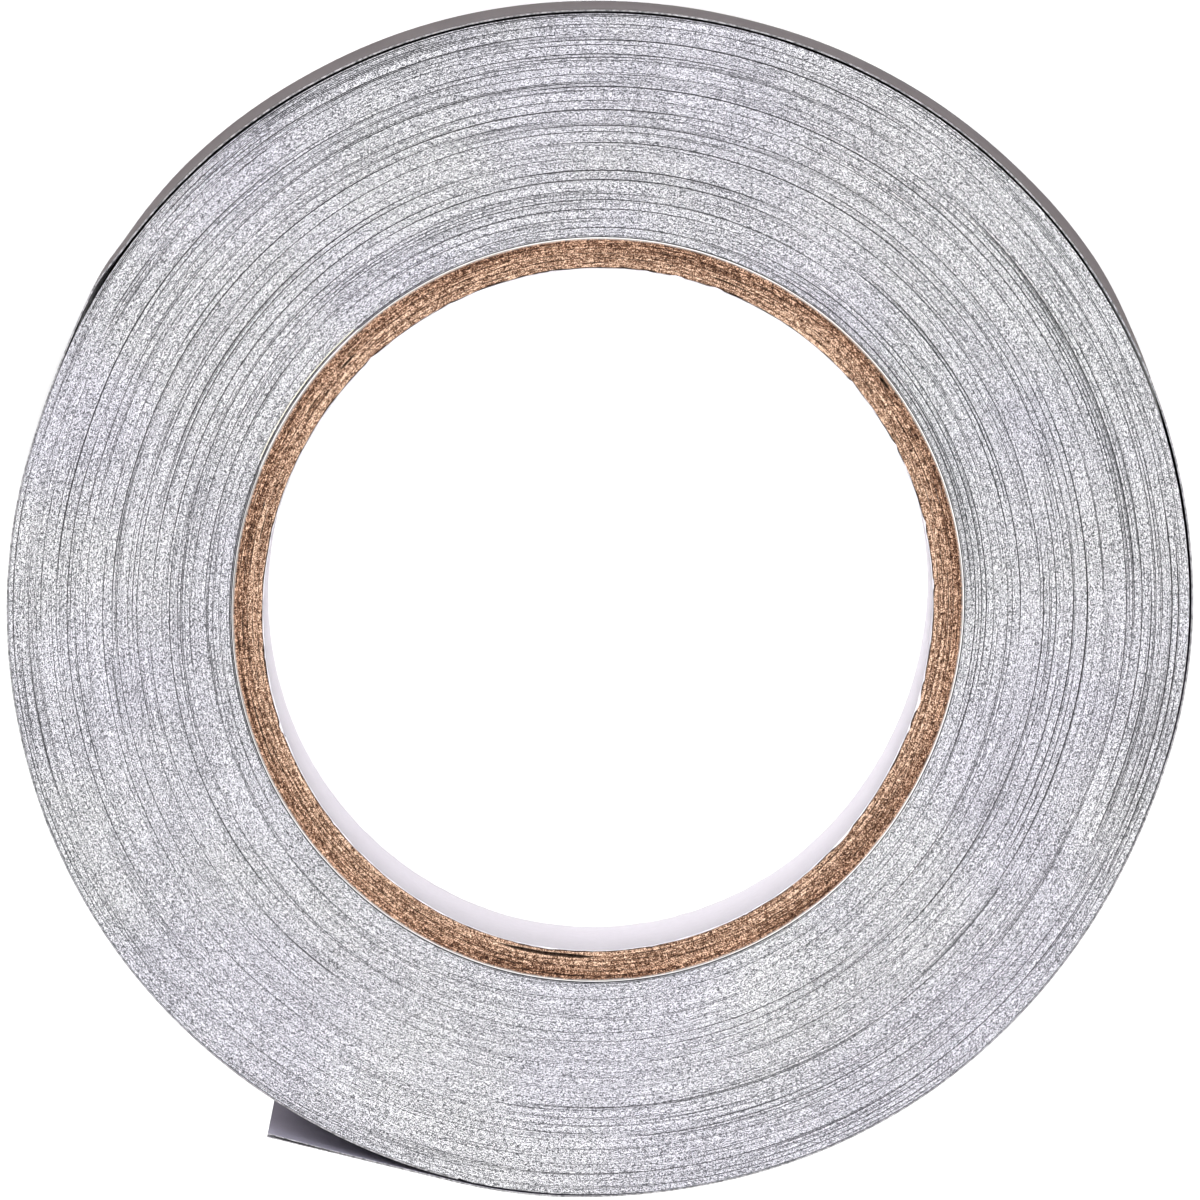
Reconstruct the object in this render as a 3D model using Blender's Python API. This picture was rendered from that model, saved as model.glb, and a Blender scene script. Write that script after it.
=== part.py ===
# A roll of aluminium foil tape on a cardboard core, lying on one side.
# Origin: centre of the lower side face. +Z: the roll's axis. Lengths are in metres, angles in degrees.
import math

import bmesh
import bpy

MM = 0.001

# Core: a white inner ply and kraft plies, glued in layers
TAPE_WIDTH = 48.0 * MM
BORE_RADIUS = 38.1 * MM
LINER_PLY_THICKNESS = 0.12 * MM
KRAFT_PLY_THICKNESS = 0.48 * MM
KRAFT_PLY_COUNT = 6
GLUE_LINE = 0.05 * MM

# Strip that holds the first turn to the core
FIXING_STRIP_THICKNESS = 0.1 * MM
FIXING_STRIP_ARC = 25.0
FIXING_STRIP_START = 100.0
FIXING_STRIP_CLEARANCE = 0.05 * MM

# Tape: foil outside, adhesive under it, release liner inside
FOIL_THICKNESS = 0.040 * MM
ADHESIVE_THICKNESS = 0.035 * MM
RELEASE_LINER_THICKNESS = 0.080 * MM
LAYER_CLEARANCE = 0.008 * MM
INNER_TURN_COUNT = 3
TURN_CLEARANCE = 0.03 * MM
WOUND_RADIUS = 66.3 * MM

# Last turn: it stands off the turns below it
TAIL_DIRECTION = -103.5
SLACK_START = 0.02 * MM
SLACK_BASE = 0.05 * MM
SLACK_SIDE = 0.25 * MM
SLACK_SIDE_START = 162.0
SLACK_SIDE_END = 287.0
SLACK_RAMP = 12.0
BUCKLE_HEIGHT = 0.60 * MM
BUCKLE_ANGLE = 105.5
BUCKLE_HALF_ARC = 9.0

# Free end: jointed pieces that unwind, then a straight tip whose foil peels off its liner
LEAD_COUNT = 5
LEAD_ARC = 15.0
TIP_ROOT_LENGTH = 11.0 * MM
PEEL_ROOT_LENGTH = 5.5 * MM
PEEL_END_LENGTH = 5.5 * MM
END_CLEARANCE = 0.1 * MM

# Facets of every round surface, laid out from the tail so that neighbours line up
FACET_ARC = 5.0
SHARP_EDGE_ANGLE = 30.0

TURN_PITCH = FOIL_THICKNESS + ADHESIVE_THICKNESS + RELEASE_LINER_THICKNESS + 2 * LAYER_CLEARANCE
TIP_LENGTH = TIP_ROOT_LENGTH + PEEL_ROOT_LENGTH + PEEL_END_LENGTH
FULL_TURN = 360.0

# Each layer of the tape, as its depth below the outer surface of the foil
LAYER_DEPTHS = {
    "foil": (0.0, FOIL_THICKNESS),
    "adhesive": (FOIL_THICKNESS + LAYER_CLEARANCE,
                 FOIL_THICKNESS + LAYER_CLEARANCE + ADHESIVE_THICKNESS),
    "liner": (TURN_PITCH - RELEASE_LINER_THICKNESS, TURN_PITCH),
}


def make_material(name, colour, roughness, metallic=0.0):
    material = bpy.data.materials.new(name)
    material.use_nodes = True
    shader = material.node_tree.nodes["Principled BSDF"]
    shader.inputs["Base Color"].default_value = (*colour, 1.0)
    shader.inputs["Roughness"].default_value = roughness
    shader.inputs["Metallic"].default_value = metallic
    return material


def make_materials():
    return {
        "white_paper": make_material("white_paper", (0.80, 0.77, 0.82), 0.8),
        "kraft_board": make_material("kraft_board", (0.42, 0.26, 0.18), 0.9),
        "fixing_strip": make_material("fixing_strip", (0.80, 0.76, 0.62), 0.6),
        "wound_edge": make_material("wound_edge", (0.52, 0.51, 0.55), 0.5, 0.4),
        "foil": make_material("foil", (0.55, 0.53, 0.53), 0.3, 1.0),
        "adhesive": make_material("adhesive", (0.78, 0.78, 0.74), 0.3),
        "liner": make_material("liner", (0.62, 0.60, 0.66), 0.7),
    }


def around(radius, turn_angle):
    """Point at a radius, at an angle counted from the tail along the way the tape is wound."""
    direction = math.radians(TAIL_DIRECTION - turn_angle)
    return (radius * math.cos(direction), radius * math.sin(direction))


def smooth_step(value):
    limited = max(0.0, min(1.0, value))
    return limited * limited * (3.0 - 2.0 * limited)


def wound_radius(turn_angle):
    """Outside of the turns below the last one, which climbs one pitch in a turn."""
    return WOUND_RADIUS + TURN_PITCH * turn_angle / FULL_TURN


def slack(turn_angle):
    """How far the last turn stands off the turns below it. It starts tight, under the tip's root."""
    base = SLACK_START + (SLACK_BASE - SLACK_START) * smooth_step(turn_angle / SLACK_RAMP)
    rise = smooth_step((turn_angle - SLACK_SIDE_START) / SLACK_RAMP)
    fall = smooth_step((SLACK_SIDE_END + SLACK_RAMP - turn_angle) / SLACK_RAMP)
    from_buckle = abs(turn_angle - BUCKLE_ANGLE) / BUCKLE_HALF_ARC
    return base + SLACK_SIDE * min(rise, fall) + BUCKLE_HEIGHT * smooth_step(1.0 - from_buckle)


def foil_radius(turn_angle):
    """Outer surface of the last turn."""
    return wound_radius(turn_angle) + slack(turn_angle) + TURN_PITCH


def facet_angles(start, end):
    """Angles of the facet corners that lie between two angles, with those two angles."""
    first = math.floor(start / FACET_ARC) + 1
    last = math.ceil(end / FACET_ARC)
    return [start] + [FACET_ARC * step for step in range(first, last)] + [end]


def band_faces(mesh, inner, outer, closed):
    """Flat strip of faces between two paths. A closed strip's outer path may end in a step."""
    inner_corners = [mesh.verts.new((x, y, 0.0)) for x, y in inner]
    outer_corners = [mesh.verts.new((x, y, 0.0)) for x, y in outer]
    for step in range(len(inner_corners) - 1):
        mesh.faces.new((inner_corners[step], inner_corners[step + 1],
                        outer_corners[step + 1], outer_corners[step]))
    if not closed:
        return
    ring = [inner_corners[-1], inner_corners[0], outer_corners[0]]
    if len(outer_corners) > len(inner_corners):
        ring.append(outer_corners[-1])
    ring.append(outer_corners[len(inner_corners) - 1])
    mesh.faces.new(ring)


def extruded_band(name, inner, outer, closed=False):
    """Band of the tape's width, standing on the lower side face."""
    mesh = bmesh.new()
    band_faces(mesh, inner, outer, closed)
    grown = bmesh.ops.extrude_face_region(mesh, geom=mesh.faces[:])
    corners = [item for item in grown["geom"] if isinstance(item, bmesh.types.BMVert)]
    bmesh.ops.translate(mesh, verts=corners, vec=(0.0, 0.0, TAPE_WIDTH))
    bmesh.ops.recalc_face_normals(mesh, faces=mesh.faces[:])
    data = bpy.data.meshes.new(name)
    mesh.to_mesh(data)
    mesh.free()
    data.shade_smooth()
    data.set_sharp_from_angle(angle=math.radians(SHARP_EDGE_ANGLE))
    return data


def add_part(name, data, material, hinge=None):
    """Object of one piece. A moving piece hangs on the empty that stands on its hinge."""
    data.materials.append(material)
    part = bpy.data.objects.new(name, data)
    bpy.context.collection.objects.link(part)
    if hinge is not None:
        x, y = hinge["place"]
        for corner in data.vertices:
            corner.co.x -= x
            corner.co.y -= y
        part.parent = hinge["empty"]
    return part


def add_hinge(name, place, parent=None):
    """Empty on a hinge's axis, carried by the hinge before it."""
    empty = bpy.data.objects.new(name, None)
    bpy.context.collection.objects.link(empty)
    start = parent["place"] if parent else (0.0, 0.0)
    empty.location = (place[0] - start[0], place[1] - start[1], 0.0)
    if parent:
        empty.parent = parent["empty"]
    return {"empty": empty, "place": place}


def closed_ring(name, inner_radius, outer_radius):
    """Plain ring."""
    angles = [FACET_ARC * step for step in range(round(FULL_TURN / FACET_ARC))]
    inner = [around(inner_radius, angle) for angle in angles]
    outer = [around(outer_radius, angle) for angle in angles]
    return extruded_band(name, inner, outer, closed=True)


def build_core(materials):
    """White inner ply and kraft plies, from the bore outwards. Gives the core's outer radius."""
    radius = BORE_RADIUS + LINER_PLY_THICKNESS
    add_part("core_liner_ply", closed_ring("core_liner_ply", BORE_RADIUS, radius), materials["white_paper"])
    for ply in range(1, KRAFT_PLY_COUNT + 1):
        name = f"core_kraft_ply_{ply}"
        inner_radius = radius + GLUE_LINE
        radius = inner_radius + KRAFT_PLY_THICKNESS
        add_part(name, closed_ring(name, inner_radius, radius), materials["kraft_board"])
    return radius


def build_fixing_strip(materials, core_radius):
    """Double-sided strip between the core and the first turn. Gives the first turn's inner radius."""
    inner_radius = core_radius + FIXING_STRIP_CLEARANCE
    outer_radius = inner_radius + FIXING_STRIP_THICKNESS
    angles = facet_angles(FIXING_STRIP_START, FIXING_STRIP_START + FIXING_STRIP_ARC)
    inner = [around(inner_radius, angle) for angle in angles]
    outer = [around(outer_radius, angle) for angle in angles]
    add_part("core_fixing_strip", extruded_band("core_fixing_strip", inner, outer), materials["fixing_strip"])
    return outer_radius + FIXING_STRIP_CLEARANCE


def build_wound_turns(materials, first_radius):
    """First few turns beside the core, then all turns that are pressed into one body."""
    second_radius = first_radius + INNER_TURN_COUNT * TURN_PITCH
    add_part("inner_turns", closed_ring("inner_turns", first_radius, second_radius), materials["wound_edge"])
    inner_radius = second_radius + TURN_CLEARANCE
    steps = round(FULL_TURN / FACET_ARC)
    inner = [around(inner_radius, FACET_ARC * step) for step in range(steps)]
    outer = [around(wound_radius(FACET_ARC * step), FACET_ARC * step) for step in range(steps + 1)]
    add_part("wound_turns", extruded_band("wound_turns", inner, outer, closed=True), materials["wound_edge"])


def add_arc_layers(name, start, end, materials, hinge=None):
    """Foil, adhesive and liner of a stretch of the last turn, with room at both of its ends."""
    room = math.degrees(END_CLEARANCE / 2 / WOUND_RADIUS)
    angles = facet_angles(start + room, end - room)
    for layer, (top, bottom) in LAYER_DEPTHS.items():
        inner = [around(foil_radius(angle) - bottom, angle) for angle in angles]
        outer = [around(foil_radius(angle) - top, angle) for angle in angles]
        piece = f"{name}_{layer}"
        add_part(piece, extruded_band(piece, inner, outer), materials[layer], hinge)


def on_tip(distance, depth):
    """Point on the straight tip, at a distance from where it leaves the roll and a depth below its foil."""
    x, y = around(foil_radius(FULL_TURN) - depth, 0.0)
    heading = math.radians(TAIL_DIRECTION - 90.0)
    return (x + distance * math.cos(heading), y + distance * math.sin(heading))


def add_tip_layer(name, layer, start, length, materials, hinge):
    """Straight stretch of one layer of the tip."""
    top, bottom = LAYER_DEPTHS[layer]
    stretch = (start + END_CLEARANCE / 2, start + length - END_CLEARANCE / 2)
    inner = [on_tip(distance, bottom) for distance in stretch]
    outer = [on_tip(distance, top) for distance in stretch]
    piece = f"{name}_{layer}"
    add_part(piece, extruded_band(piece, inner, outer), materials[layer], hinge)


def build_last_turn(materials):
    """Fixed part of the last turn, then the pieces that unwind. Gives the hinge of the last of them."""
    lead_start = FULL_TURN - LEAD_COUNT * LEAD_ARC
    add_arc_layers("outer_turn", 0.0, lead_start, materials)
    hinge = None
    for lead in range(1, LEAD_COUNT + 1):
        start = lead_start + (lead - 1) * LEAD_ARC
        hinge = add_hinge(f"lead_{lead}_hinge", around(foil_radius(start), start), hinge)
        add_arc_layers(f"lead_{lead}", start, start + LEAD_ARC, materials, hinge)
    return hinge


def build_tip(materials, lead_hinge):
    """Straight free end: a root piece, then a liner end whose foil and adhesive peel away in two pieces."""
    fold = TIP_ROOT_LENGTH
    second_fold = fold + PEEL_ROOT_LENGTH
    root_hinge = add_hinge("tip_root_hinge", on_tip(0.0, 0.0), lead_hinge)
    for layer in LAYER_DEPTHS:
        add_tip_layer("tip_root", layer, 0.0, fold, materials, root_hinge)
    end_hinge = add_hinge("tip_end_hinge", on_tip(fold, 0.0), root_hinge)
    add_tip_layer("tip_end", "liner", fold, TIP_LENGTH - fold, materials, end_hinge)
    peel_hinge = add_hinge("peel_root_hinge", on_tip(fold, 0.0), end_hinge)
    peel_end_hinge = add_hinge("peel_end_hinge", on_tip(second_fold, 0.0), peel_hinge)
    for layer in ("foil", "adhesive"):
        add_tip_layer("peel_root", layer, fold, PEEL_ROOT_LENGTH, materials, peel_hinge)
        add_tip_layer("peel_end", layer, second_fold, PEEL_END_LENGTH, materials, peel_end_hinge)


def main():
    for old in list(bpy.data.objects):
        bpy.data.objects.remove(old)
    materials = make_materials()
    core_radius = build_core(materials)
    first_radius = build_fixing_strip(materials, core_radius)
    build_wound_turns(materials, first_radius)
    lead_hinge = build_last_turn(materials)
    build_tip(materials, lead_hinge)


main()
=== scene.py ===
import math

import bpy
import numpy as np
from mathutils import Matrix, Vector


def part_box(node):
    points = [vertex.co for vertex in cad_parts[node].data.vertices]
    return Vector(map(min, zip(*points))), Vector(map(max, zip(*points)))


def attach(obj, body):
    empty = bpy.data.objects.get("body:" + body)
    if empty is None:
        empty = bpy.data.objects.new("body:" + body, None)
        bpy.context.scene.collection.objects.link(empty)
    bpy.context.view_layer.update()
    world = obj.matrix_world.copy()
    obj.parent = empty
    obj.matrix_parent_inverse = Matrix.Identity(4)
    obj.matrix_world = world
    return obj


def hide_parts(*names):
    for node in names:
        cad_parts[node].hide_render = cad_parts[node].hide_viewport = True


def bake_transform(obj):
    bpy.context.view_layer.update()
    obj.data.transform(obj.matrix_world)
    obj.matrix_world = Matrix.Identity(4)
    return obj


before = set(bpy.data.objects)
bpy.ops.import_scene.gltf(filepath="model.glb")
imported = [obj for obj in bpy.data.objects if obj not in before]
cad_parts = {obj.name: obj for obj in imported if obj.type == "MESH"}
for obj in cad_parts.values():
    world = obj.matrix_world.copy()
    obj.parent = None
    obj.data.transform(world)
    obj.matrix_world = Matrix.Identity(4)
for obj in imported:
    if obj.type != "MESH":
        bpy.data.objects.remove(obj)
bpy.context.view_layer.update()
mm = 0.001
touching = 0.001 * mm  # places closer than this count as one
chance = np.random.default_rng(71)
print("frame loaded:", len(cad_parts), "nodes")


def nodeRadii(node):  # smallest and largest distance of a node's corners from the roll's axis
    away = [math.hypot(corner.co.x, corner.co.y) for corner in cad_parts[node].data.vertices]
    return min(away), max(away)


# Clock angles are in degrees, clockwise from +Y as seen from above. Wind angles start at the
# tail one turn earlier and grow along the tape, so wind 360 is where the free end leaves the roll.
tape = {
    "width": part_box("wound_turns")[1][2],
    "foil": 0.040 * mm,
    "adhesive": 0.035 * mm,
    "liner": 0.080 * mm,
    "layerGap": 0.008 * mm,
    "tailClock": 193.5,
    "tipLength": 22.3 * mm,
    "fold": 11.0 * mm,  # where the foil can peel off its liner, along the tip
    "secondFold": 16.5 * mm,
    "leadStart": 285.0,
    "leadArc": 15.0,
}
tape["pitch"] = tape["foil"] + tape["adhesive"] + tape["liner"] + 2 * tape["layerGap"]
woundInner, woundOuter = nodeRadii("wound_turns")
woundOuter -= tape["pitch"]  # the spiral's radius at wind 0
coreInner = nodeRadii("core_liner_ply")[0]
coreOuter = nodeRadii("core_kraft_ply_6")[1]

# The roll isn't quite round: millimetres outwards at clock angles, for the outside and for the core
outlineDents = [(0, 0.26), (15, 0.33), (30, 0.45), (45, 0.41), (60, 0.32), (70, 0.24), (80, 0.10),
                (90, 0.06), (100, -0.10), (110, -0.62), (121, -0.62), (132, -0.56), (142, -0.40),
                (152, -0.33), (164, -0.34), (176, -0.24), (190, 0.05), (215, 0.04), (232, 0.26),
                (246, 0.20), (268, 0.04), (280, -0.10), (290, -0.42), (298, -0.02), (318, 0.22),
                (340, 0.30)]
coreDents = [(0, 0.10), (20, 0.16), (45, 0.28), (66, 0.27), (80, 0.10), (92, -0.12), (103, -0.36),
             (115, -0.50), (130, -0.50), (143, -0.34), (160, -0.20), (180, 0.0), (200, 0.20),
             (240, 0.24), (258, 0.14), (275, 0.0), (295, -0.06), (330, -0.03)]
coreShape = {"taller": 0.33 * mm, "lower": 0.50 * mm}  # the core is oval and sits off centre


def smoothStep(value):
    limited = np.clip(value, 0.0, 1.0)
    return limited * limited * (3.0 - 2.0 * limited)


def awayFrom(clock, centre):  # degrees between two clock angles, the short way
    return np.abs((clock - centre + 180.0) % 360.0 - 180.0)


def hump(clock, centre, halfWidth):
    return smoothStep(1.0 - awayFrom(clock, centre) / halfWidth)


def plateau(clock, start, end, ramp):  # 1 from start to end, with a ramp outside both
    return smoothStep(((end - start) / 2 + ramp - awayFrom(clock, (start + end) / 2)) / ramp)


def around(table, clock, blur=5.0):  # a table of millimetres at clock angles, read as a smooth curve
    clocks, numbers = zip(*table)
    shifts = (-blur, -blur / 2, 0.0, blur / 2, blur)
    smooth = 0.0
    for shift in shifts:
        smooth = smooth + np.interp(clock + shift, clocks, numbers, period=360.0) / len(shifts)
    return smooth * mm


def clockOf(x, y):
    return np.degrees(np.arctan2(x, y)) % 360.0


def settleRound(x, y):  # from a perfectly round roll to the real one, for the core and the turns
    radius = np.hypot(x, y)
    clock = clockOf(x, y)
    share = smoothStep((radius - coreOuter) / (woundOuter - coreOuter))
    away = np.radians(2 * clock)
    coreDent = coreShape["taller"] * np.cos(away) + around(coreDents, clock)
    radius = radius + around(outlineDents, clock) * share + coreDent * (1 - share)
    x = radius * np.sin(np.radians(clock))
    y = radius * np.cos(np.radians(clock)) - coreShape["lower"] * (1 - share)
    return x, y


# Tools for meshes

def deselectAll():
    bpy.ops.object.select_all(action="DESELECT")


def editAll(piece):
    deselectAll()
    bpy.context.view_layer.objects.active = piece
    piece.select_set(True)
    bpy.ops.object.mode_set(mode="EDIT")
    bpy.ops.mesh.select_all(action="SELECT")


def leaveEdit():
    bpy.ops.object.mode_set(mode="OBJECT")


def corners(piece):
    flat = np.empty(len(piece.data.vertices) * 3)
    piece.data.vertices.foreach_get("co", flat)
    return flat.reshape(-1, 3)


def moveCorners(piece, places):
    piece.data.vertices.foreach_set("co", np.ascontiguousarray(places, float).ravel())
    piece.data.update()


def keepNumber(piece, name, values):  # one number on each corner, for a material to read
    layer = piece.data.attributes.new(name, "FLOAT", "POINT")
    layer.data.foreach_set("value", np.asarray(values, np.float32))


def keepPlace(piece, name, places):  # three numbers on each corner, for a pattern to follow
    layer = piece.data.attributes.new(name, "FLOAT_VECTOR", "POINT")
    layer.data.foreach_set("vector", np.asarray(places, np.float32).ravel())


def ringPlaces(places, across, along):  # polar pattern place without a seam
    clock = np.radians(clockOf(places[:, 0], places[:, 1]))
    radius = np.hypot(places[:, 0], places[:, 1])
    reach = radius / along
    return np.column_stack([radius / across, np.cos(clock) * reach, np.sin(clock) * reach])


def smoothShade(piece, angle):
    deselectAll()
    bpy.context.view_layer.objects.active = piece
    piece.select_set(True)
    bpy.ops.object.shade_smooth_by_angle(angle=math.radians(angle))


def turnProfile(name, profile, steps):  # a closed outline of (radius, height) turned round the axis
    deselectAll()
    bpy.ops.mesh.primitive_circle_add(vertices=len(profile), radius=1.0, location=(0, 0, 0))
    piece = bpy.context.object
    piece.name = name
    piece.data.name = name
    outline = np.array(profile, float)
    moveCorners(piece, np.column_stack([outline[:, 0], np.zeros(len(outline)), outline[:, 1]]))
    editAll(piece)
    bpy.ops.mesh.spin(steps=steps, angle=2 * math.pi, center=(0, 0, 0), axis=(0, 0, 1))
    bpy.ops.mesh.select_all(action="SELECT")
    bpy.ops.mesh.remove_doubles(threshold=touching / 2)
    bpy.ops.mesh.normals_make_consistent(inside=False)
    leaveEdit()
    return piece


# Tools for materials

mixSockets = {"share": 0, "under": 6, "over": 7, "result": 2}  # the ones for colours
rangeSockets = ("From Min", "From Max", "To Min", "To Max")


class Finish:
    def __init__(self, name, **sockets):
        self.material = bpy.data.materials.new(name)
        self.material.use_nodes = True
        self.tree = self.material.node_tree
        self.shader = self.tree.nodes["Principled BSDF"]
        for socket, value in sockets.items():
            self.shader.inputs[socket.replace("_", " ")].default_value = value

    def link(self, output, node, socket):
        self.tree.links.new(output, node.inputs[socket])

    def objectPlace(self):
        return self.tree.nodes.new("ShaderNodeTexCoord").outputs["Object"]

    def kept(self, name, output="Fac"):
        node = self.tree.nodes.new("ShaderNodeAttribute")
        node.attribute_name = name
        return node.outputs[output]

    def stretched(self, place, scale):
        node = self.tree.nodes.new("ShaderNodeMapping")
        node.inputs["Scale"].default_value = scale
        self.link(place, node, "Vector")
        return node.outputs["Vector"]

    def noise(self, place, scale, detail=2.0, roughness=0.5):
        node = self.tree.nodes.new("ShaderNodeTexNoise")
        node.inputs["Scale"].default_value = scale
        node.inputs["Detail"].default_value = detail
        node.inputs["Roughness"].default_value = roughness
        self.link(place, node, "Vector")
        return node.outputs["Fac"]

    def specks(self, place, scale, size):  # 1 inside small scattered dots
        node = self.tree.nodes.new("ShaderNodeTexVoronoi")
        node.inputs["Scale"].default_value = scale
        self.link(place, node, "Vector")
        return self.spread(node.outputs["Distance"], size, size * 0.5)

    def spread(self, value, low, high, newLow=0.0, newHigh=1.0):
        node = self.tree.nodes.new("ShaderNodeMapRange")
        for socket, number in zip(rangeSockets, (low, high, newLow, newHigh)):
            node.inputs[socket].default_value = number
        self.link(value, node, "Value")
        return node.outputs["Result"]

    def math(self, operation, first, second):
        node = self.tree.nodes.new("ShaderNodeMath")
        node.operation = operation
        for index, value in enumerate((first, second)):
            if isinstance(value, (int, float)):
                node.inputs[index].default_value = value
            else:
                self.link(value, node, index)
        return node.outputs["Value"]

    def weighted(self, *parts):  # sum of (value, weight)
        total = 0.0
        for value, weight in parts:
            total = self.math("ADD", self.math("MULTIPLY", value, weight), total)
        return total

    def ramp(self, value, stops):
        node = self.tree.nodes.new("ShaderNodeValToRGB")
        elements = node.color_ramp.elements
        while len(elements) < len(stops):
            elements.new(0.5)
        for element, (place, colour) in zip(elements, stops):
            element.position = place
            element.color = (*colour, 1.0)
        self.link(value, node, "Fac")
        return node.outputs["Color"]

    def mixed(self, share, pattern, plain, blend="MIX"):  # a plain colour laid over a pattern
        node = self.tree.nodes.new("ShaderNodeMix")
        node.data_type = "RGBA"
        node.blend_type = blend
        self.link(share, node, mixSockets["share"])
        self.link(pattern, node, mixSockets["under"])
        node.inputs[mixSockets["over"]].default_value = (*plain, 1.0)
        return node.outputs[mixSockets["result"]]

    def colour(self, value):
        self.link(value, self.shader, "Base Color")

    def rough(self, value):
        self.link(value, self.shader, "Roughness")

    def bump(self, height, distance, strength=1.0):
        node = self.tree.nodes.new("ShaderNodeBump")
        node.inputs["Distance"].default_value = distance
        node.inputs["Strength"].default_value = strength
        self.link(height, node, "Height")
        self.link(node.outputs["Normal"], self.shader, "Normal")


def turnEdgeFinish():  # slit edges of foil, adhesive and liner, pressed side by side, with painted shade in the valleys, gaps and cracks between turns
    look = {
        "dark": (0.05, 0.05, 0.055),
        "middle": (0.375, 0.374, 0.394),
        "light": (0.79, 0.785, 0.80),
        # colour of the painted shade in thin cracks between turns
        "lilac": (0.955, 0.945, 1.0),
        "crackShade": (0.035, 0.035, 0.04),
        "dirt": (0.05, 0.045, 0.05),
        "firstTurn": (0.80, 0.79, 0.79),
        # colour of the painted shade in valleys and gaps between turns
        "gap": (0.010, 0.010, 0.013),
        "grainScale": 9500.0,
        "cloudScale": 110.0,
        "lilacScale": 38.0,
        "lineStretch": (1.15, 0.015, 0.015),
        "weights": (0.51, 0.37, 0.07, 0.05),  # of grain, streaks, lines and clouds
        "contrast": (0.40, 0.60),
        "crackShadeRange": (0.27, 0.22, 0.0, 0.8),
        "dirtSpots": (70.0, 0.018),
        "dirtStrength": 0.75,
        "bump": 0.03 * mm,
    }
    finish = Finish("turnEdges", Roughness=0.6, Metallic=0.1, Specular_IOR_Level=0.3)
    place = finish.objectPlace()
    ring = finish.kept("ringPlace", "Vector")
    grain = finish.noise(place, look["grainScale"], 0.0)
    streak = finish.noise(ring, 1.0, 1.0, 0.6)
    line = finish.noise(finish.stretched(ring, look["lineStretch"]), 1.0, 0.0)
    cloud = finish.noise(place, look["cloudScale"], 3.0, 0.6)
    tone = finish.weighted(*zip((grain, streak, line, cloud), look["weights"]))
    tone = finish.spread(tone, *look["contrast"])
    colour = finish.ramp(tone, [(0.0, look["dark"]), (0.5, look["middle"]), (1.0, look["light"])])
    lilac = finish.spread(finish.noise(place, look["lilacScale"]), 0.40, 0.60)
    colour = finish.mixed(lilac, colour, look["lilac"], "MULTIPLY")
    # painted shade: thin dark crack lines between turns, where the long line pattern is low
    colour = finish.mixed(finish.spread(line, *look["crackShadeRange"]), colour, look["crackShade"])
    dirt = finish.math("MULTIPLY", finish.specks(place, *look["dirtSpots"]), look["dirtStrength"])
    colour = finish.mixed(dirt, colour, look["dirt"])
    colour = finish.mixed(finish.kept("paleShade"), colour, look["firstTurn"])
    # painted shade in the valleys and gaps between turns
    colour = finish.mixed(finish.kept("gapShade"), colour, look["gap"])
    finish.colour(colour)
    finish.rough(finish.spread(grain, 0.3, 0.7, 0.50, 0.72))
    finish.bump(finish.weighted((grain, 0.5), (streak, 0.5)), look["bump"], 0.4)
    return finish.material


def kraftFinish():  # cut ends of the core's plies: brown fibres lying along the paper, with painted shade where plies split apart
    look = {
        "dark": (0.022, 0.008, 0.004),
        "brown": (0.225, 0.116, 0.070),
        "tan": (0.86, 0.61, 0.45),
        "redder": (0.93, 0.76, 0.66),
        "paleEdge": (0.62, 0.58, 0.55),
        # colour of the painted shade in splits between plies
        "gap": (0.03, 0.018, 0.012),
        "grainScale": 8000.0,
        "clumpScale": 1500.0,
        "lineStretch": (1.0, 0.03, 0.03),
        "weights": (0.38, 0.28, 0.16, 0.18, -0.05),  # of grain, streaks, lines, clumps and depth
        "contrast": (0.390, 0.595),
        "redOutside": 0.45,
        "bump": 0.08 * mm,
    }
    finish = Finish("kraftBoard", Roughness=0.9, Specular_IOR_Level=0.2)
    place = finish.objectPlace()
    ring = finish.kept("ringPlace", "Vector")
    grain = finish.noise(place, look["grainScale"], 0.0)
    clump = finish.noise(place, look["clumpScale"], 2.0, 0.55)
    streak = finish.noise(ring, 1.0, 2.0, 0.6)
    line = finish.noise(finish.stretched(ring, look["lineStretch"]), 1.0, 0.0)
    depth = finish.kept("boardDepth")  # 0 at the bore, 1 at the outside
    tone = finish.weighted(*zip((grain, streak, line, clump, depth), look["weights"]))
    tone = finish.spread(tone, *look["contrast"])
    colour = finish.ramp(tone, [(0.0, look["dark"]), (0.45, look["brown"]), (1.0, look["tan"])])
    redder = finish.math("MULTIPLY", finish.spread(depth, 0.45, 1.0), look["redOutside"])
    colour = finish.mixed(redder, colour, look["redder"], "MULTIPLY")
    colour = finish.mixed(finish.kept("paleEdge"), colour, look["paleEdge"])
    # painted shade where plies split apart
    colour = finish.mixed(finish.kept("gapShade"), colour, look["gap"])
    finish.colour(colour)
    finish.bump(finish.weighted((grain, 0.5), (streak, 0.5)), look["bump"], 0.7)
    return finish.material


def whitePaperFinish():  # the core's inner ply
    look = {"dark": (0.69, 0.665, 0.70), "light": (0.75, 0.72, 0.765), "fibreStretch": (1.0, 1.0, 0.35),
            "fibreScale": 1400.0, "cloudScale": 60.0, "bump": 0.03 * mm}
    finish = Finish("corePaper", Roughness=0.72, Specular_IOR_Level=0.3)
    place = finish.objectPlace()
    fibre = finish.noise(finish.stretched(place, look["fibreStretch"]), look["fibreScale"], 3.0, 0.6)
    cloud = finish.noise(place, look["cloudScale"])
    tone = finish.weighted((fibre, 0.6), (cloud, 0.4))
    finish.colour(finish.ramp(tone, [(0.3, look["dark"]), (0.7, look["light"])]))
    finish.bump(fibre, look["bump"], 0.5)
    return finish.material


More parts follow.
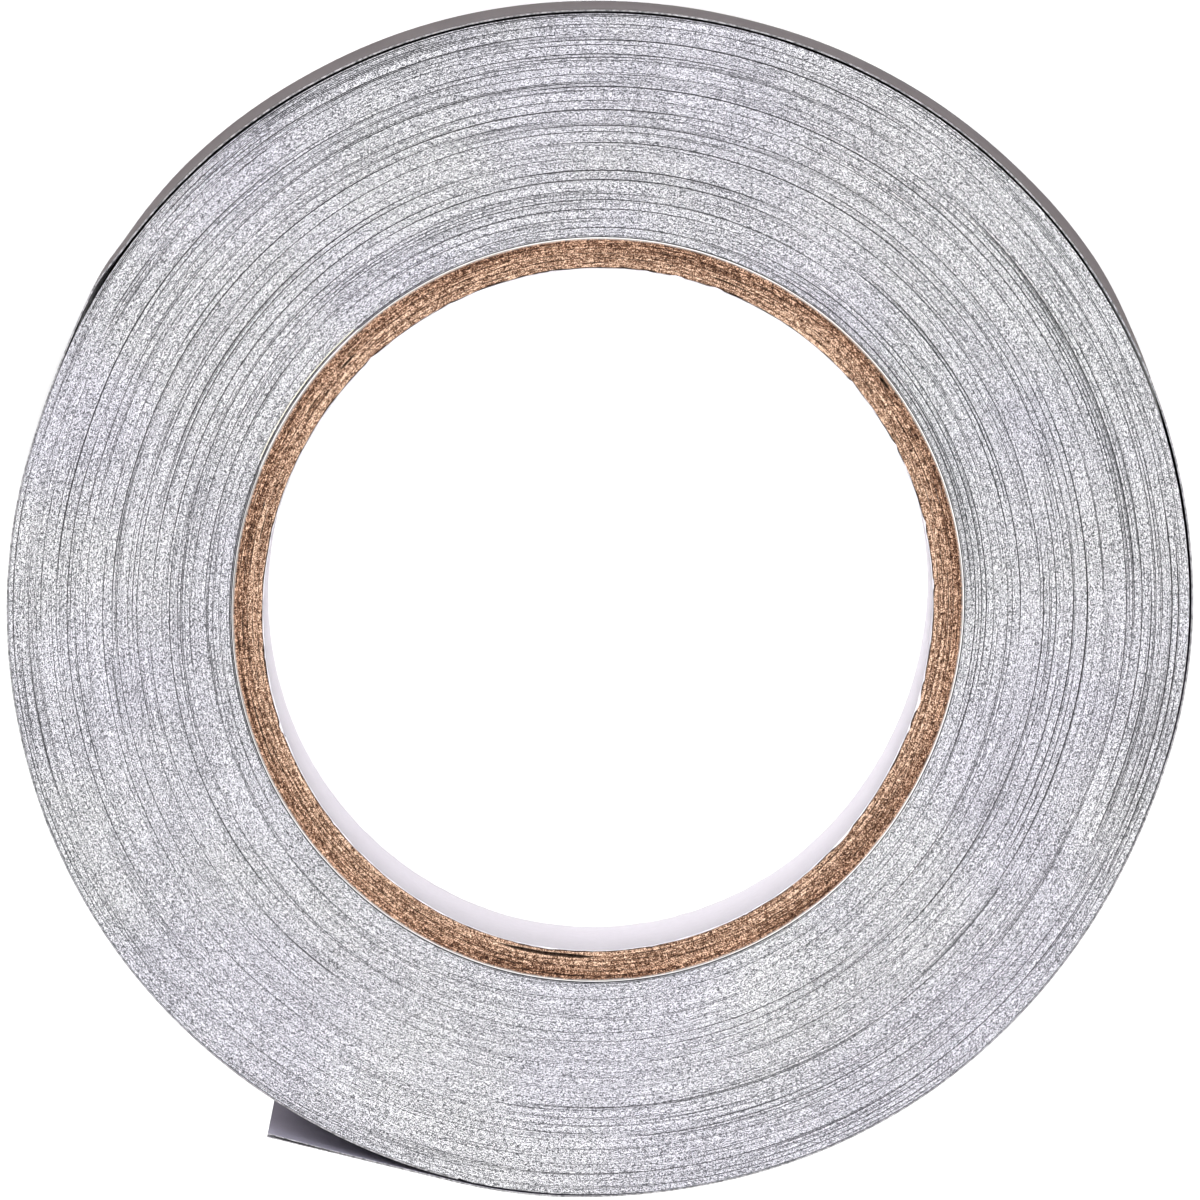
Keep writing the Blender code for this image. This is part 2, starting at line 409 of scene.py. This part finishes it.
def foilFinish():  # rolled aluminium, with faint lines along the strip
    look = {
        "dark": (0.265, 0.236, 0.243),
        "light": (0.355, 0.318, 0.326),
        "rolledStretch": (120.0, 7000.0, 120.0),
        "softScale": 130.0,
        "creaseStretch": (45.0, 90.0, 45.0),
        "roughRange": (0.38, 0.52),
        "bump": 0.22 * mm,
    }
    finish = Finish("rolledFoil", Metallic=0.8, Roughness=0.4, Specular_IOR_Level=0.0,
                    Specular_Tint=(0.0, 0.0, 0.0, 1.0))
    strip = finish.kept("tapePlace", "Vector")
    rolled = finish.noise(finish.stretched(strip, look["rolledStretch"]), 1.0, 3.0, 0.6)
    soft = finish.noise(strip, look["softScale"])
    crease = finish.noise(finish.stretched(strip, look["creaseStretch"]), 1.0)
    tone = finish.weighted((rolled, 0.6), (soft, 0.4))
    finish.colour(finish.ramp(tone, [(0.3, look["dark"]), (0.7, look["light"])]))
    finish.rough(finish.spread(tone, 0.3, 0.7, *look["roughRange"]))
    height = finish.weighted((rolled, 0.08), (soft, 0.30), (crease, 0.62))
    finish.bump(height, look["bump"], 0.6)
    return finish.material


def linerFinish():  # silicone coated release paper
    look = {"dark": (0.57, 0.56, 0.70), "light": (0.69, 0.68, 0.83), "fibreScale": 1600.0,
            "cloudScale": 110.0, "bump": 0.02 * mm}
    finish = Finish("releaseLiner", Roughness=0.5, Specular_IOR_Level=0.45)
    strip = finish.kept("tapePlace", "Vector")
    fibre = finish.noise(strip, look["fibreScale"], 3.0, 0.6)
    cloud = finish.noise(strip, look["cloudScale"])
    tone = finish.weighted((fibre, 0.5), (cloud, 0.5))
    finish.colour(finish.ramp(tone, [(0.3, look["dark"]), (0.7, look["light"])]))
    finish.bump(fibre, look["bump"], 0.5)
    return finish.material


def cutEdgePaintedShadeFinish():  # slit and cut edges of the last turn: grey like the pack's slit edges, and darker still as painted shade
    look = {"dark": (0.10, 0.10, 0.105), "light": (0.50, 0.49, 0.51), "nibbleScale": 2600.0}
    finish = Finish("cutEdgesPaintedShade", Roughness=0.7, Specular_IOR_Level=0.2)
    nibbled = finish.noise(finish.objectPlace(), look["nibbleScale"], 2.0, 0.6)
    finish.colour(finish.ramp(nibbled, [(0.35, look["dark"]), (0.65, look["light"])]))
    return finish.material


def adhesiveFinish():  # tacky acrylic, seen only where the foil is peeled
    look = {"dark": (0.50, 0.49, 0.46), "light": (0.60, 0.59, 0.56), "rippleScale": 500.0,
            "bump": 0.03 * mm}
    finish = Finish("acrylicAdhesive", Roughness=0.2, Specular_IOR_Level=0.6)
    ripple = finish.noise(finish.kept("tapePlace", "Vector"), look["rippleScale"], 3.0, 0.6)
    finish.colour(finish.ramp(ripple, [(0.3, look["dark"]), (0.7, look["light"])]))
    finish.bump(ripple, look["bump"], 0.6)
    return finish.material


finishes = {"turnEdges": turnEdgeFinish(), "kraft": kraftFinish(), "paper": whitePaperFinish(),
            "foil": foilFinish(), "liner": linerFinish(), "adhesive": adhesiveFinish(),
            "cutEdgePaintedShade": cutEdgePaintedShadeFinish()}
print("finishes made")


# Wound turns: each turn's edge stands a little higher or lower, with gaps that open here and there

turns = {
    "steps": 190,
    "heightSpread": 0.045 * mm,
    "wobble": 0.35,  # how much a turn's height changes round the roll, as a share of that spread
    "edgeSlope": 0.012 * mm,
    "valley": 0.020 * mm,
    "valleyWidth": 0.020 * mm,
    # painted shade: every valley between turns is coloured this much darker, and open gaps more by their
    # strength
    "valleyPaintedShade": 0.05,
    "gapDepth": 0.55 * mm,
    "gapWidth": 0.12 * mm,
    "gapPaintedShade": 3.2,
    "gapEnds": 2.2,  # how quickly a gap opens from its ends
    "outermost": 0.1 * mm,  # a piece this close to the roll's radius is the outermost one
    "spiralDepth": 4.0 * mm,  # down to this depth its turns follow the spiral of the tape
    "foilDepth": 1.5 * mm,  # its outer wall lies within this depth
    "wallFace": 5.0e-6,  # square metres: only the tall faces on the outside are this large
    "firstCount": 4,
    "coreGap": 0.02 * mm,  # from the core to the first turn, and more where it has come loose
    "looseGap": 0.06 * mm,
    "looseArc": (285.0, 75.0),  # middle clock and half arc of the loose part
    "stripRoom": 0.17 * mm,  # where the fixing strip lies under the first turn
    "stripRamp": 3.0,
    "pattern": (0.13 * mm, 0.36 * mm),  # size of the streaks across and along the turns
}

# Where gaps show between turns: middle clock, half width, how many, half arc, weakest and strongest,
# and the innermost and outermost turn as a share of them all
openStretches = [
    (0, 62, 46, 32, 0.40, 1.00, 0.00, 1.00),
    (0, 62, 90, 12, 0.12, 0.40, 0.00, 1.00),
    (85, 32, 30, 28, 0.40, 1.00, 0.00, 1.00),
    (85, 32, 50, 12, 0.12, 0.40, 0.00, 1.00),
    (140, 36, 24, 24, 0.28, 0.75, 0.00, 1.00),
    (140, 36, 50, 12, 0.12, 0.40, 0.00, 1.00),
    (215, 50, 20, 22, 0.15, 0.45, 0.00, 1.00),
    (215, 50, 50, 12, 0.10, 0.30, 0.00, 1.00),
    (280, 28, 26, 26, 0.22, 0.65, 0.00, 1.00),
    (285, 26, 70, 6, 0.12, 0.50, 0.00, 1.00),
    (322, 24, 26, 5, 0.30, 0.80, 0.88, 1.00),
    (150, 180, 50, 12, 0.15, 0.45, 0.86, 1.00),
]

# Gaps between the first turns beside the core: turn, middle clock, half arc, strength
firstGaps = [
    (1, 0, 200, 0.85),
    (1, 190, 60, 1.1),
    (2, 290, 58, 0.9),
    (2, 60, 40, 0.4),
    (2, 170, 40, 0.4),
]


def openGaps(turnCount):  # (turn, clock, half arc, strength) of each gap between two turns
    gaps = []
    for middle, halfWidth, many, halfArc, weakest, strongest, inner, outer in openStretches:
        for gap in range(many):
            clock = middle + halfWidth * (2 * chance.random() - 1)
            strength = weakest + (strongest - weakest) * chance.random() ** 1.5
            turn = round(1 + (turnCount - 2) * (inner + (outer - inner) * chance.random()))
            gaps.append((turn, clock, halfArc * (0.55 + 0.9 * chance.random()), strength))
    return gaps


def gapStrength(gaps, turnIndex, clock):
    found = np.zeros(len(clock))
    for turn, middle, halfArc, strength in gaps:
        near = turnIndex == turn
        if near.any():
            opened = smoothStep((1.0 - awayFrom(clock[near], middle) / halfArc) * turns["gapEnds"])
            found[near] = np.maximum(found[near], opened * strength)
    return found


def fixingStripArc():  # first and last clock angle of the strip that holds the first turn, with some room
    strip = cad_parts["core_fixing_strip"].data.vertices
    angles = [float(clockOf(corner.co.x, corner.co.y)) for corner in strip]
    return min(angles) - 1.0, max(angles) + 1.0


def turnRows(inner, outer, turnCount):  # radius, turn and kind (0 valley, 1 inner edge, 2 outer edge)
    pitch = (outer - inner) / turnCount
    rows = []
    for turn in range(turnCount):
        start = inner + turn * pitch
        if turn:
            rows.append((start, turn, 0))
        rows.append((start + turns["valleyWidth"], turn, 1))
        rows.append((start + pitch - turns["valleyWidth"], turn, 2))
    return rows


def woundPiece(name, inner, outer, turnCount, half, gaps, heights, isFirst=False):
    low, high, faceUp = half
    rows = turnRows(inner, outer, turnCount)
    face, back = (high, low) if faceUp else (low, high)
    profile = [(inner, back), (inner, face)] + [(row[0], face) for row in rows]
    profile += [(outer, face), (outer, back)]
    piece = turnProfile(name, profile, turns["steps"])
    places = corners(piece)
    radius = np.hypot(places[:, 0], places[:, 1])
    clock = clockOf(places[:, 0], places[:, 1])
    onFace = np.abs(places[:, 2] - face) < touching
    rowRadii = np.array([row[0] for row in rows])
    nearest = np.clip(np.searchsorted(rowRadii, radius), 1, len(rows) - 1)
    nearest -= (radius - rowRadii[nearest - 1]) < (rowRadii[nearest] - radius)
    isRow = onFace & (np.abs(rowRadii[nearest] - radius) < touching)
    turnIndex = np.array([row[1] for row in rows])[nearest]
    kind = np.array([row[2] for row in rows])[nearest]
    gapTurn = turnIndex + (kind == 2)
    strength = gapStrength(gaps, gapTurn, clock) * isRow

    wobble = np.sin(np.radians(clock) * heights["lobes"][turnIndex] + heights["phase"][turnIndex])
    sink = isRow * (heights["step"][turnIndex] + wobble * turns["heightSpread"] * turns["wobble"])
    sink += isRow * (kind == 1) * turns["edgeSlope"]
    sink += isRow * (kind == 0) * (turns["valley"] + strength * turns["gapDepth"])
    sink = np.maximum(sink, 0.0)
    places[:, 2] += -sink if faceUp else sink

    isOutermost = outer > woundOuter - turns["outermost"]
    widen = strength * turns["gapWidth"] * 0.5
    newRadius = radius + isRow * ((kind == 1) * widen - (kind == 2) * widen)
    if isOutermost:
        wind = (clock - tape["tailClock"]) % 360.0
        onSpiral = smoothStep((radius - outer + turns["spiralDepth"]) / turns["spiralDepth"])
        newRadius = newRadius + tape["pitch"] * wind / 360.0 * onSpiral
    if isFirst:
        fixed = plateau(clock, *fixingStripArc(), turns["stripRamp"]) * turns["stripRoom"]
        loose = hump(clock, *turns["looseArc"]) * turns["looseGap"]
        newRadius = newRadius + (radius < inner + touching) * np.maximum(fixed, loose)

    keepPlace(piece, "ringPlace", ringPlaces(places, *turns["pattern"]))
    # painted shade: valleys and open gaps between turns get a dark colour through gapShade
    shade = isRow * (kind == 0) * (turns["valleyPaintedShade"] + turns["gapPaintedShade"] * strength)
    keepNumber(piece, "gapShade", np.clip(shade, 0, 1))
    firstEdge = inner + (outer - inner) / turnCount - turns["valleyWidth"] / 2
    keepNumber(piece, "paleShade", onFace & (radius < firstEdge) & isFirst)
    places[:, 0] *= newRadius / radius
    places[:, 1] *= newRadius / radius
    places[:, 0], places[:, 1] = settleRound(places[:, 0], places[:, 1])
    moveCorners(piece, places)
    smoothShade(piece, 50.0)
    piece.data.materials.append(finishes["turnEdges"])
    if isOutermost:
        foilWall(piece, outer)
    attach(piece, "roll")
    return piece


def foilWall(piece, outer):  # the outside of the turns is foil, which shows where the last turn lifts
    keepPlace(piece, "tapePlace", corners(piece)[:, [0, 2, 1]])
    piece.data.materials.append(finishes["foil"])
    for face in piece.data.polygons:
        sideways = abs(face.normal.z) < 0.3
        outwards = face.normal.x * face.center.x + face.normal.y * face.center.y > 0
        away = math.hypot(face.center.x, face.center.y)
        if sideways and outwards and away > outer - turns["foilDepth"] and face.area > turns["wallFace"]:
            face.material_index = 1


def turnHeights(count):
    step = np.abs(chance.normal(size=count + 1)) * turns["heightSpread"]
    return {"step": step, "phase": chance.random(count + 1) * 6.28,
            "lobes": chance.integers(1, 4, count + 1)}


def makeTurns():
    width = tape["width"]
    halves = [("Upper", (width / 2, width, True)), ("Lower", (0.0, width / 2, False))]
    count = round((woundOuter - woundInner) / tape["pitch"])
    for side, half in halves:
        gaps = openGaps(count)
        heights = turnHeights(count)
        piece = woundPiece("turns" + side, woundInner, woundOuter, count, half, gaps, heights)
        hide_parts("wound_turns")
    count = turns["firstCount"]
    inner = coreOuter + turns["coreGap"]
    outer = nodeRadii("inner_turns")[1]
    for side, half in halves:
        heights = turnHeights(count)
        piece = woundPiece("firstTurns" + side, inner, outer, count, half, firstGaps, heights, True)
        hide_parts("inner_turns")


makeTurns()
print("wound turns made")


# Core: plies with ragged, fibrous cut ends, split apart in a few places

core = {
    "steps": 360,
    "raggedEnd": 0.07 * mm,
    "raggedEdge": 0.035 * mm,
    "plyStep": 0.02 * mm,  # every other ply is cut this much lower
    "endDepth": 1.2 * mm,  # the ragged ends reach this far down the walls
    # Where plies part: the ply outside the split, middle clock, half arc, width
    "splits": [(2, 188.5, 8.5, 0.24 * mm), (4, 315.0, 1.8, 0.14 * mm), (6, 51.5, 1.6, 0.22 * mm),
               (3, 22.0, 5.0, 0.05 * mm), (5, 250.0, 7.0, 0.05 * mm), (1, 95.0, 6.0, 0.05 * mm)],
    "splitFullShade": 0.12 * mm,  # a split this wide gets the full painted shade
    # Chips out of the bore's edge: middle clock, half arc, depth
    "chips": [(106, 3.0, 0.30 * mm), (133, 3.5, 0.26 * mm), (189, 4.0, 0.20 * mm), (20, 2.0, 0.16 * mm),
              (318, 2.5, 0.24 * mm), (262, 2.0, 0.14 * mm), (75, 2.0, 0.15 * mm), (231, 1.6, 0.16 * mm)],
    "smallChips": 26,
    "borderPale": (0.16 * mm, 0.8),  # width and strength of the paler rim outside
    "innerEdge": 0.15 * mm,  # the bore's ragged edge reaches this much further in
    "pattern": (0.15 * mm, 0.55 * mm),  # size of the fibres across and along the plies
}


for chip in range(core["smallChips"]):
    middle = 360.0 * chance.random()
    halfArc = 0.7 + 1.6 * chance.random()
    core["chips"].append((middle, halfArc, (0.06 + 0.16 * chance.random()) * mm))


def roughness(count):  # rows of random numbers round the core, smoothed a little
    values = chance.normal(size=(count, core["steps"]))
    values = (np.roll(values, 1, 1) + 2 * values + np.roll(values, -1, 1)) / 4
    return values / values.std()


def splitOpening(boundary, clock):  # how far the plies part at a boundary, counted from the bore
    opening = np.zeros(len(clock))
    for ply, middle, halfArc, width in core["splits"]:
        if ply == boundary:
            parted = smoothStep((1 - awayFrom(clock, middle) / halfArc) * 1.8)
            opening = np.maximum(opening, width * parted)
    return opening


def chipDepth(clock):  # how much is missing from the bore's edge
    bite = np.zeros(len(clock))
    for middle, halfArc, depth in core["chips"]:
        bite = np.maximum(bite, depth * hump(clock, middle, halfArc))
    return bite


def coreRing(name, ply, rows):
    inner, outer = nodeRadii(name)
    width = tape["width"]
    radii = np.linspace(inner, outer, rows)
    walls = [core["endDepth"], width / 2, width - core["endDepth"]]
    profile = [(radius, width) for radius in radii] + [(outer, height) for height in reversed(walls)]
    profile += [(radius, 0.0) for radius in reversed(radii)] + [(inner, height) for height in walls]
    piece = turnProfile(name.replace("core_", "board_"), profile, core["steps"])
    places = corners(piece)
    radius = np.hypot(places[:, 0], places[:, 1])
    clock = clockOf(places[:, 0], places[:, 1])
    step = np.rint(clock / 360.0 * core["steps"]).astype(int) % core["steps"]
    share = (radius - inner) / (outer - inner)
    row = np.rint(share * (rows - 1)).astype(int)
    atTop = places[:, 2] > width - 10 * touching
    atEnd = atTop | (places[:, 2] < 10 * touching)
    atInside, atOutside = share < 0.01, share > 0.99

    fibres = np.abs(roughness(rows)[row, step])
    bite = chipDepth(clock) * atEnd if ply <= 1 else np.zeros(len(clock))
    sink = core["raggedEnd"] * fibres * 0.6 + core["plyStep"] * (ply % 2) + bite * 1.6
    places[:, 2] += np.where(atTop, -sink, np.where(atEnd, sink, 0.0))

    ragged = core["raggedEdge"] * roughness(2)[(share > 0.5).astype(int), step] * atEnd
    newRadius = radius + ragged * 0.5
    newRadius = newRadius - core["innerEdge"] * (coreOuter - radius) / (coreOuter - coreInner)
    if ply <= 1:
        newRadius = newRadius + atInside * (np.abs(ragged) * 1.5 + bite * 1.1)
    insideOpen = splitOpening(ply, clock) * atTop
    outsideOpen = splitOpening(ply + 1, clock) * atTop
    newRadius = newRadius + (share < 0.5) * insideOpen * 0.5 * (1 - share)
    newRadius = newRadius - (share > 0.5) * outsideOpen * 0.5 * share

    keepPlace(piece, "ringPlace", ringPlaces(places, *core["pattern"]))
    boardInner = nodeRadii("core_kraft_ply_1")[0]
    keepNumber(piece, "boardDepth", (radius - boardInner) / (coreOuter - boardInner))
    edgeOpen = np.where(atInside, insideOpen, np.where(atOutside, outsideOpen, 0.0))
    # painted shade on the ply walls where plies split apart
    keepNumber(piece, "gapShade", np.clip(edgeOpen / core["splitFullShade"], 0, 1))
    paleWidth, paleStrength = core["borderPale"]
    keepNumber(piece, "paleEdge", paleStrength * smoothStep(1 - (coreOuter - radius) / paleWidth))
    places[:, 0] *= newRadius / radius
    places[:, 1] *= newRadius / radius
    places[:, 0], places[:, 1] = settleRound(places[:, 0], places[:, 1])
    moveCorners(piece, places)
    smoothShade(piece, 40.0)
    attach(piece, "roll")
    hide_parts(name)
    return piece


def makeCore():
    lining = coreRing("core_liner_ply", 0, 3)
    lining.data.materials.append(finishes["paper"])
    for ply in range(1, 7):
        board = coreRing(f"core_kraft_ply_{ply}", ply, 5)
        board.data.materials.append(finishes["kraft"])


makeCore()
print("core made")


# The tape's last turn, its leads and its tip, each in three layers

lastTurn = {
    "slack": 0.04 * mm,
    "least": 0.02 * mm,
    "startWind": 0.25,  # just past the tip, so that the two don't touch
    "startEase": (8.0, 0.2),  # the slack grows over this arc, and starts this far up the curve
    "tailGap": 0.20 * mm,  # the turn stands off just before the tip
    "tailGapStart": 335.0,
    "tailGapArc": 25.0,
    "twist": 1.5 * mm,  # the tip's lower edge lies closer to the roll
    "parting": 0.28 * mm,  # foil and liner part at the very end
    "dent": 0.05 * mm,
    "dentCount": 70,
    "rows": 16,
    "degreesPerColumn": 1.25,
    "leadBend": 0.9,  # share of a lead's arc handed to bendAcross as its span
    "rootBend": (3.5, 0.4),  # the span handed to bendAcross for the tip's root starts and ends this many degrees early
}
# Spans handed to bendAcross along the tip, from and to, as distances along it
tipBends = {
    "curl": (7.0 * mm, 10.9 * mm),
    "peel": (11.1 * mm, 13.5 * mm),
    "peelCurl": (14.2 * mm, 19.0 * mm),
}
# Millimetres at clock angles: how far the upper edge stands off the roll, with a buckle at 303, and
# how much further out than that the lower edge stands
upperGap = [(0, 0.20), (30, 0.20), (60, 0.22), (70, 0.27), (80, 0.26), (95, 0.19), (105, 0.10),
            (116, 0.0), (286, 0.0), (294, 0.02), (297, 0.14), (300, 0.34), (303, 0.62), (306, 0.28),
            (310, 0.22), (330, 0.22), (345, 0.22)]
lowerFlare = [(0, -0.19), (15, -0.21), (30, 0.08), (45, 0.40), (52, 0.66), (57, 0.76), (60, 0.66),
              (64, 0.40), (69, 0.20), (76, 0.0), (290, 0.0), (304, 0.0), (307, 0.16), (310, 0.28),
              (315, 0.38), (322, 0.34), (330, 0.16), (345, 0.0)]
# Shallow dents: wind, level, half width in degrees, half height, size
dents = [(chance.random() * 380.0, chance.random(), 2.0 + 5.0 * chance.random(),
          0.1 + 0.25 * chance.random(), chance.random()) for dent in range(lastTurn["dentCount"])]


def slackAt(wind, height):  # height is 0 at the lower edge and 1 at the upper one
    clock = (wind + tape["tailClock"]) % 360.0
    slack = lastTurn["slack"] + around(upperGap, clock, 1.0)
    slack = slack + around(lowerFlare, clock, 1.0) * (1 - height) ** 1.2
    tailward = smoothStep((wind - lastTurn["tailGapStart"]) / lastTurn["tailGapArc"])
    slack = slack + lastTurn["tailGap"] * tailward
    for middle, level, wide, tall, size in dents:
        near = np.exp(-((wind - middle) / wide) ** 2 - ((height - level) / tall) ** 2)
        slack = slack + lastTurn["dent"] * size * near
    arc, atStart = lastTurn["startEase"]
    return np.maximum(slack * smoothStep(wind / arc + atStart), lastTurn["least"])


def tapePoints(wind, height, depth, liner):  # places on the tape, depth below the foil's outer face
    beyond = np.maximum(wind - 360.0, 0.0)
    onRoll = np.minimum(wind, 360.0)
    clock = onRoll + tape["tailClock"]
    radius = woundOuter + tape["pitch"] * (onRoll / 360.0 + 1) + around(outlineDents, clock)
    radius = radius + slackAt(wind, height)
    run = np.radians(beyond) * woundOuter
    share = run / tape["tipLength"]
    parted = lastTurn["parting"] * share ** 2.5 if liner else 0.0
    radius = radius - depth - parted - lastTurn["twist"] * share ** 1.7 * (1 - height)
    sine, cosine = np.sin(np.radians(clock)), np.cos(np.radians(clock))
    x = radius * sine + run * cosine
    y = radius * cosine - run * sine
    return np.column_stack([x, y, height * tape["width"]])


def windOfTip(distance):  # wind angle of a place on the tip
    return 360.0 + math.degrees(distance / woundOuter)


def tapeLayer(name, layer, start, end):
    depths = {"foil": 0.0, "adhesive": tape["foil"] + tape["layerGap"],
              "liner": tape["pitch"] - tape["liner"]}
    columns = max(6, math.ceil((end - start) / lastTurn["degreesPerColumn"]))
    deselectAll()
    bpy.ops.mesh.primitive_grid_add(x_subdivisions=columns, y_subdivisions=lastTurn["rows"], size=1.0)
    piece = bpy.context.object
    piece.name = name
    piece.data.name = name
    flat = corners(piece)
    wind = start + (end - start) * (flat[:, 0] + 0.5)
    height = 0.5 - flat[:, 1]
    along = np.radians(wind) * woundOuter
    keepPlace(piece, "tapePlace", np.column_stack([along, height * tape["width"], 0.0 * wind]))
    moveCorners(piece, tapePoints(wind, height, depths[layer], layer == "liner"))
    piece.data.materials.append(finishes[layer])
    # the rims get the cut edge finish, partly their own grey and partly painted shade
    piece.data.materials.append(finishes["cutEdgePaintedShade"])
    thick = piece.modifiers.new("thickness", "SOLIDIFY")
    thick.thickness = tape[layer]
    thick.offset = -1.0
    thick.material_offset_rim = 1
    bpy.ops.object.modifier_apply(modifier=thick.name)
    smoothShade(piece, 30.0)
    return piece


def bendAcross(piece, first, second, start, end):
    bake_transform(piece)


def makeLastTurn():
    half = tape["leadArc"] / 2
    bend = half * lastTurn["leadBend"]
    for layer in ("foil", "adhesive", "liner"):
        start = lastTurn["startWind"]
        piece = tapeLayer(f"lastTurn_{layer}", layer, start, tape["leadStart"] - half)
        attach(piece, "roll")
        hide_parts(f"outer_turn_{layer}")
        before = "roll"
        for lead in range(1, 6):
            hinge = tape["leadStart"] + (lead - 1) * tape["leadArc"]
            piece = tapeLayer(f"lead{lead}_{layer}", layer, hinge - half, hinge + half)
            bendAcross(piece, before, f"lead_{lead}", hinge - bend, hinge + bend)
            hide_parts(f"lead_{lead}_{layer}")
            before = f"lead_{lead}"


def makeTip():
    start = 360.0 - tape["leadArc"] / 2
    rootBefore, rootAfter = lastTurn["rootBend"]
    halfWay = windOfTip(tape["fold"] / 2)
    fold = windOfTip(tape["fold"])
    betweenFolds = windOfTip((tape["fold"] + tape["secondFold"]) / 2)
    tipEnd = windOfTip(tape["tipLength"])
    curl, peel, peelCurl = [[windOfTip(place) for place in bend] for bend in tipBends.values()]
    for layer in ("foil", "adhesive", "liner"):
        piece = tapeLayer(f"tipRoot_{layer}", layer, start, halfWay)
        bendAcross(piece, "lead_5", "tip_root", 360.0 - rootBefore, halfWay - rootAfter)
        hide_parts(f"tip_root_{layer}")
    liner = tapeLayer("tipEnd_liner", "liner", halfWay, tipEnd)
    bendAcross(liner, "tip_root", "tip_end", *curl)
    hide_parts("tip_end_liner")
    for layer in ("foil", "adhesive"):
        piece = tapeLayer(f"tipMiddle_{layer}", layer, halfWay, fold)
        bendAcross(piece, "tip_root", "tip_end", *curl)
        piece = tapeLayer(f"peelRoot_{layer}", layer, fold, betweenFolds)
        bendAcross(piece, "tip_end", "peel_root", *peel)
        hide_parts(f"peel_root_{layer}")
        piece = tapeLayer(f"peelEnd_{layer}", layer, betweenFolds, tipEnd)
        bendAcross(piece, "peel_root", "peel_end", *peelCurl)
        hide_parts(f"peel_end_{layer}")


makeLastTurn()
makeTip()
print("last turn and tip made")


# Fixing strip between the core and the first turn: only its edges could ever show

def finishFixingStrip():
    look = {"dark": (0.60, 0.55, 0.42), "light": (0.72, 0.68, 0.55), "cloudScale": 900.0}
    finish = Finish("fixingStrip", Roughness=0.4)
    tone = finish.noise(finish.objectPlace(), look["cloudScale"])
    finish.colour(finish.ramp(tone, [(0.3, look["dark"]), (0.7, look["light"])]))
    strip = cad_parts["core_fixing_strip"]
    strip.data.materials.clear()
    strip.data.materials.append(finish.material)


finishFixingStrip()


# Stage, light and camera

studio = {
    "floorSize": 14.0,
    "floorDrop": 0.2 * mm,
    "distance": 3.3,
    "tilt": 2.55,  # degrees past straight down, towards +Y
    "seen": 134.95 * mm,  # width of the view at the upper side face
    "aim": (0.00018, 0.00065),
    "sensor": 36.0,
    "sky": [(0.0, 0.5, 0.15, 0.55), (0.80, 0.96, 0.0, 4.6)],  # from and to sine of height, dim, bright
    "key": {"place": (-0.9, 0.9, 1.6), "size": 0.9, "power": 6.0},
    "glow": 0.2,  # the floor is a faintly lit table
    "underRoll": [(40 * mm, 44 * mm), (66.7 * mm, 67.4 * mm)],  # no glow between these distances
}


def makeStage():
    deselectAll()
    bpy.ops.mesh.primitive_plane_add(size=studio["floorSize"], location=(0, 0, -studio["floorDrop"]))
    floor = bpy.context.object
    floor.name = "floor"
    finish = Finish("paleFloor", Roughness=0.9, Base_Color=(0.93, 0.93, 0.93, 1.0),
                    Emission_Color=(1.0, 1.0, 1.0, 1.0))
    away = finish.tree.nodes.new("ShaderNodeVectorMath")
    away.operation = "LENGTH"
    finish.link(finish.objectPlace(), away, "Vector")
    outside = finish.spread(away.outputs["Value"], *studio["underRoll"][1], 0.0, studio["glow"])
    inside = finish.spread(away.outputs["Value"], *studio["underRoll"][0], studio["glow"], 0.0)
    finish.link(finish.math("ADD", inside, outside), finish.shader, "Emission Strength")
    floor.data.materials.append(finish.material)


def addLight(name, place, size, power):
    light = bpy.data.lights.new(name, "AREA")
    light.shape = "DISK"
    light.size = size
    light.energy = power
    lamp = bpy.data.objects.new(name, light)
    bpy.context.scene.collection.objects.link(lamp)
    lamp.location = place
    towards = -lamp.location.normalized()
    lamp.rotation_euler = towards.to_track_quat("-Z", "Y").to_euler()


def makeLight():
    world = bpy.data.worlds.new("softSky")
    world.use_nodes = True
    tree = world.node_tree
    place = tree.nodes.new("ShaderNodeTexCoord")
    parts = tree.nodes.new("ShaderNodeSeparateXYZ")
    tree.links.new(place.outputs["Generated"], parts.inputs["Vector"])
    total = tree.nodes.new("ShaderNodeMath")
    for index, (low, high, dim, bright) in enumerate(studio["sky"]):
        height = tree.nodes.new("ShaderNodeMapRange")
        height.interpolation_type = "SMOOTHSTEP"
        for socket, number in zip(rangeSockets, (low, high, dim, bright)):
            height.inputs[socket].default_value = number
        tree.links.new(parts.outputs["Z"], height.inputs["Value"])
        tree.links.new(height.outputs["Result"], total.inputs[index])
    tree.nodes["Background"].inputs["Color"].default_value = (1.0, 1.0, 1.0, 1.0)
    tree.links.new(total.outputs["Value"], tree.nodes["Background"].inputs["Strength"])
    bpy.context.scene.world = world
    addLight("key", **studio["key"])
    bpy.context.scene.view_settings.view_transform = "Standard"


def makeCamera():
    camera = bpy.data.cameras.new("camera")
    camera.sensor_width = studio["sensor"]
    camera.lens = studio["sensor"] * studio["distance"] / studio["seen"]
    camera.clip_end = 100.0
    holder = bpy.data.objects.new("camera", camera)
    bpy.context.scene.collection.objects.link(holder)
    tilt = math.radians(studio["tilt"])
    aimX, aimY = studio["aim"]
    holder.location = (aimX, aimY + studio["distance"] * math.sin(tilt),
                       tape["width"] + studio["distance"] * math.cos(tilt))
    holder.rotation_euler = (-tilt, 0.0, 0.0)
    bpy.context.scene.camera = holder


makeStage()
makeLight()
makeCamera()
print("stage, light and camera made")
